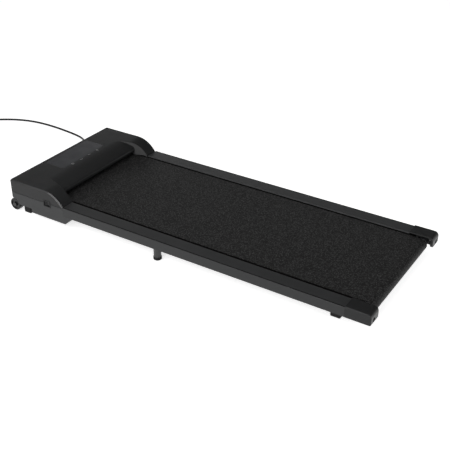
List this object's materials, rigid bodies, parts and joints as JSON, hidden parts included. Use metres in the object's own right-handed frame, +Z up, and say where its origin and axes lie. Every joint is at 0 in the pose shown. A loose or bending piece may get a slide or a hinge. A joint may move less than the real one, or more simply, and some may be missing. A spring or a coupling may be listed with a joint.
{
  "type": "walking pad",
  "caption": "Slim under-desk walking pad: a black belt runs over rollers between side foot strips, driven by a motor under a low moulded cover with a display window, a switch and a lead.",
  "frame": {"origin": "middle of the pad's footprint on the floor, without the lead", "axes": "+X along the belt from the motor end to the tail, +Y to the right of someone who walks on the pad and faces the motor, +Z up"},
  "size_m": [1.8868, 0.5475, 0.108],
  "materials": {
    "cover_black": "fine moulded texture, satin",
    "housing_black": "fine moulded texture",
    "strip_black": "extruded, satin",
    "frame_paint": "black powder coat",
    "deck_board": "dense fibreboard with a black waxed face",
    "belt_black": "fine pebble grain",
    "roller_steel": "turned",
    "bearing_steel": "ground",
    "pulley_metal": "turned",
    "drive_rubber": "ribbed",
    "motor_paint": "black, satin",
    "flywheel_iron": "machined",
    "board_green": "coated laminate",
    "sink_metal": "extruded",
    "capacitor_blue": "sleeved",
    "window_gloss": "polished, smoked",
    "foot_rubber": "matt",
    "inlay_rubber": "matt",
    "wheel_grey": "satin",
    "bolt_steel": "zinc plated",
    "switch_black": "semi-gloss",
    "cord_black": "satin sheath",
    "tie_black": "smooth",
    "blade_metal": "nickel plated"
  },
  "bodies": {
    "pad_frame": {"controller_capacitors": "capacitor_blue", "controller_heat_sink": "sink_metal", "cord_coil": "cord_black", "cord_tie": "tie_black", "crossmember_1": "frame_paint", "crossmember_2": "frame_paint", "crossmember_3": "frame_paint", "crossmember_4": "frame_paint", "deck": "deck_board", "deck_cushions": "foot_rubber", "deck_screws": "bolt_steel", "display_board": "board_green", "display_window": "window_gloss", "drive_belt": "drive_rubber", "front_roller_shaft": "bolt_steel", "left_end_cap": "cover_black", "left_front_foot": "foot_rubber", "left_rail_cover": "strip_black", "left_rear_foot": "foot_rubber", "left_side_rail": "frame_paint", "left_wheel_axle": "frame_paint", "left_wheel_bracket": "frame_paint", "lower_housing": "housing_black", "middle_foot_posts": "frame_paint", "middle_foot_tips": "foot_rubber", "motor": "motor_paint", "motor_bracket": "frame_paint", "motor_controller": "board_green", "motor_cover": "cover_black", "motor_tray": "frame_paint", "plug_blades": "blade_metal", "power_cord": "cord_black", "power_plug": "cord_black", "rail_end_plates": "frame_paint", "rear_roller_shaft": "bolt_steel", "rear_shaft_spacers": "tie_black", "right_end_cap": "cover_black", "right_front_foot": "foot_rubber", "right_rail_cover": "strip_black", "right_rear_foot": "foot_rubber", "right_side_rail": "frame_paint", "right_wheel_axle": "frame_paint", "right_wheel_bracket": "frame_paint", "strain_relief": "cord_black", "strip_inlays": "inlay_rubber", "switch_body": "switch_black", "tension_bolts": "bolt_steel", "walking_belt": "belt_black"},
    "front_roller": {"front_roller": "roller_steel", "front_roller_bearings": "bearing_steel", "roller_pulley": "pulley_metal"},
    "rear_roller": {"rear_roller": "roller_steel", "rear_roller_bearings": "bearing_steel"},
    "motor_rotor": {"motor_shaft": "bearing_steel", "motor_flywheel": "flywheel_iron", "motor_pulley": "pulley_metal"},
    "left_wheel": {"left_wheel": "wheel_grey"},
    "right_wheel": {"right_wheel": "wheel_grey"},
    "power_switch": {"switch_rocker": "switch_black"}
  },
  "joints": [
    {"name": "front_roller_spin", "type": "hinge", "parent": "pad_frame", "child": "front_roller", "pos_m": [-0.451, 0, 0.0499], "axis": [0, 1, 0], "continuous": true},
    {"name": "rear_roller_spin", "type": "hinge", "parent": "pad_frame", "child": "rear_roller", "pos_m": [0.583, 0, 0.0499], "axis": [0, 1, 0], "continuous": true},
    {"name": "motor_spin", "type": "hinge", "parent": "pad_frame", "child": "motor_rotor", "pos_m": [-0.539, 0, 0.071], "axis": [0, 1, 0], "continuous": true},
    {"name": "left_wheel_spin", "type": "hinge", "parent": "pad_frame", "child": "left_wheel", "pos_m": [-0.594, -0.2216, 0.0203], "axis": [0, 1, 0], "continuous": true},
    {"name": "right_wheel_spin", "type": "hinge", "parent": "pad_frame", "child": "right_wheel", "pos_m": [-0.594, 0.2216, 0.0203], "axis": [0, 1, 0], "continuous": true},
    {"name": "power_switch_rock", "type": "hinge", "parent": "pad_frame", "child": "power_switch", "pos_m": [-0.4505, -0.2274, 0.0655], "axis": [0, 0, 1], "range_deg": [-16, 0]}
  ],
  "couplings": [
    {"joint": "rear_roller_spin", "follows": "front_roller_spin", "ratio": 1},
    {"joint": "motor_spin", "follows": "front_roller_spin", "ratio": 2.6}
  ]
}
